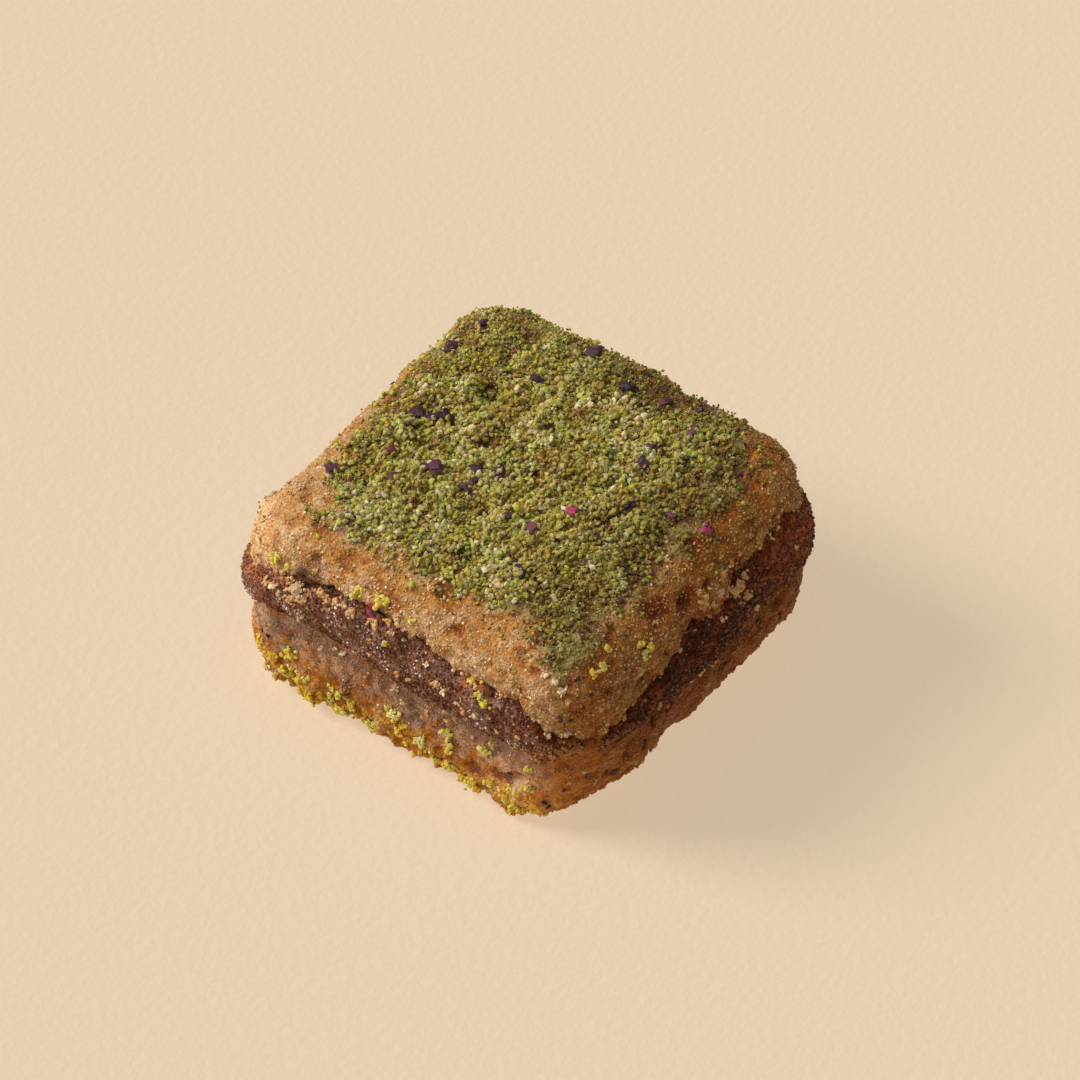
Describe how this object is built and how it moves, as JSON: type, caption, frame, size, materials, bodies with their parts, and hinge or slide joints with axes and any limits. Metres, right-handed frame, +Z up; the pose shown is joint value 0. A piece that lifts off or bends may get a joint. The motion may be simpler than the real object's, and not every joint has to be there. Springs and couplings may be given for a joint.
{
  "type": "date-filled pistachio pastry square",
  "caption": "Small square pastry of crumbly dough with a band of date paste between base and lid, strewn with finely ground pistachio.",
  "frame": {"origin": "middle of the underside, on the surface the square stands on", "axes": "+Z up through the layers, +X and +Y along the two sides of the square; -Y is the side with the meal-strewn lower edge"},
  "size_m": [0.041, 0.0416, 0.0209],
  "materials": {
    "base_dough": "browned crumbly dough, slightly oily, with meal stuck to the lower edge",
    "date_paste": "dark sticky date paste with sugar crystals",
    "lid_dough": "pale tan crumbly dough strewn with green ground pistachio"
  },
  "bodies": {
    "root": {"bottom_dough": "base_dough", "date_filling": "date_paste", "top_dough": "lid_dough"}
  },
  "joints": []
}
